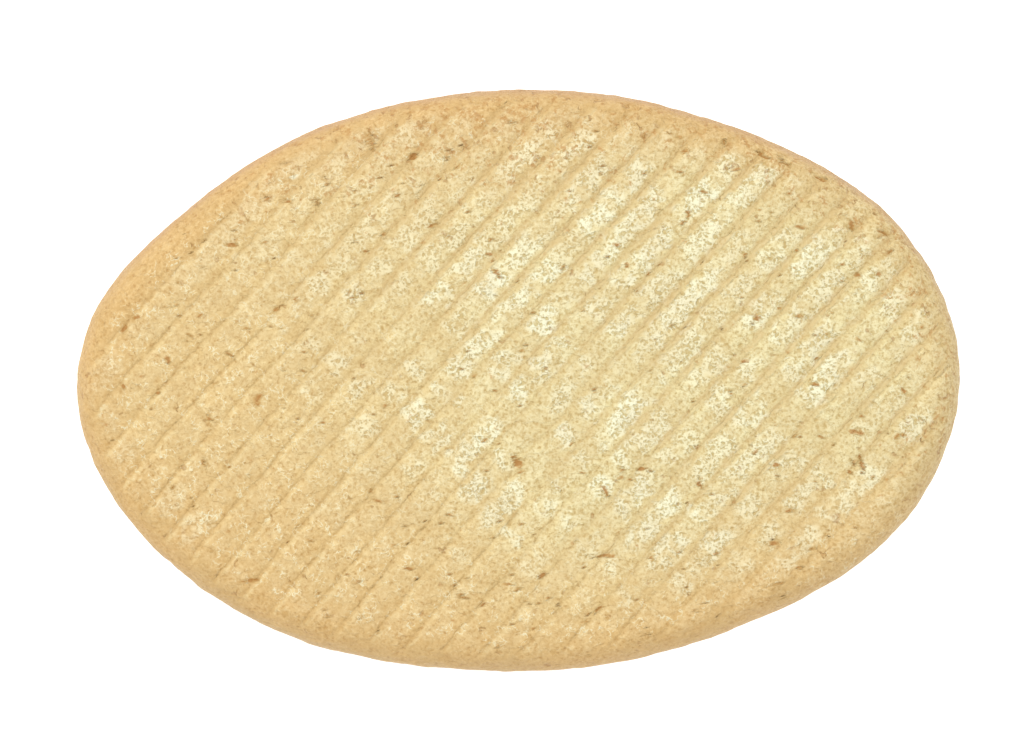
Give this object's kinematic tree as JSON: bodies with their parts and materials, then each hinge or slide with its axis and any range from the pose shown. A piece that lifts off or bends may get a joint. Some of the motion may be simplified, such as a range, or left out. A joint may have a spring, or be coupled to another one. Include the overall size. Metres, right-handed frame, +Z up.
{
  "type": "oval biscuit",
  "caption": "Flat oval golden baked biscuit with slanting ribs pressed into its upper face, small pores and a rounded edge.",
  "frame": {"origin": "middle of the underside, at the centre of the biscuit's length and width", "axes": "+X along the long way of the oval, +Y along its short way, +Z up out of the ribbed face"},
  "size_m": [0.07, 0.0462, 0.0074],
  "materials": {
    "baked_crumb": "matte golden baked crumb with small pale glints"
  },
  "bodies": {
    "root": {"biscuit": "baked_crumb"}
  },
  "joints": []
}
